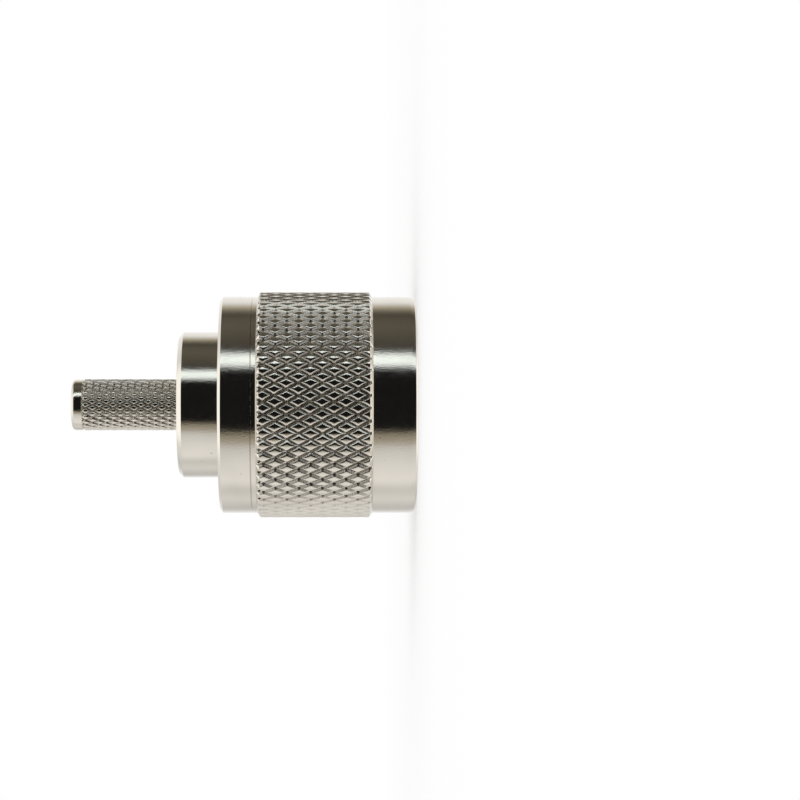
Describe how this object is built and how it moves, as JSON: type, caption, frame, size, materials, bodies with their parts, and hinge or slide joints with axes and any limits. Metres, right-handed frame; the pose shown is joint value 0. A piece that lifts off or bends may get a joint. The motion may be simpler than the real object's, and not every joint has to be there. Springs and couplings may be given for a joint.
{
  "type": "n type connector",
  "caption": "Type N coaxial crimp plug: a knurled coupling nut with a female thread turns round a sleeve and centre pin, with a knurled barrel for the cable crimp.",
  "frame": {"origin": "centre of the plane of the coupling nut's mouth, on which the plug stands", "axes": "+Z along the plug's axis from the mating mouth to the cable end; X and Y are across it, with the opening of the retaining ring on +X"},
  "size_m": [0.0194, 0.0194, 0.0294],
  "materials": {
    "nickel_plate": "bright nickel plate over turned brass, fine turning marks and light scratches",
    "spring_bronze": "plain drawn spring bronze",
    "black_rubber": "smooth dark silicone rubber",
    "white_fluoropolymer": "turned white fluoropolymer, waxy and slightly translucent",
    "gold_plate": "thin gold plate over brass"
  },
  "bodies": {
    "plug_body": {"rear_body": "nickel_plate", "outer_contact": "nickel_plate", "insulator": "white_fluoropolymer", "centre_contact": "gold_plate", "gasket": "black_rubber"},
    "ring_carrier": {"retaining_ring": "spring_bronze"},
    "nut": {"coupling_nut": "nickel_plate"}
  },
  "joints": [
    {"name": "nut_float", "type": "slide", "parent": "plug_body", "child": "ring_carrier", "axis": [0, 0, 1], "range_m": [-0.0003, 0]},
    {"name": "nut_spin", "type": "hinge", "parent": "ring_carrier", "child": "nut", "pos_m": [0, 0, 0.01534], "axis": [0, 0, 1], "continuous": true}
  ]
}
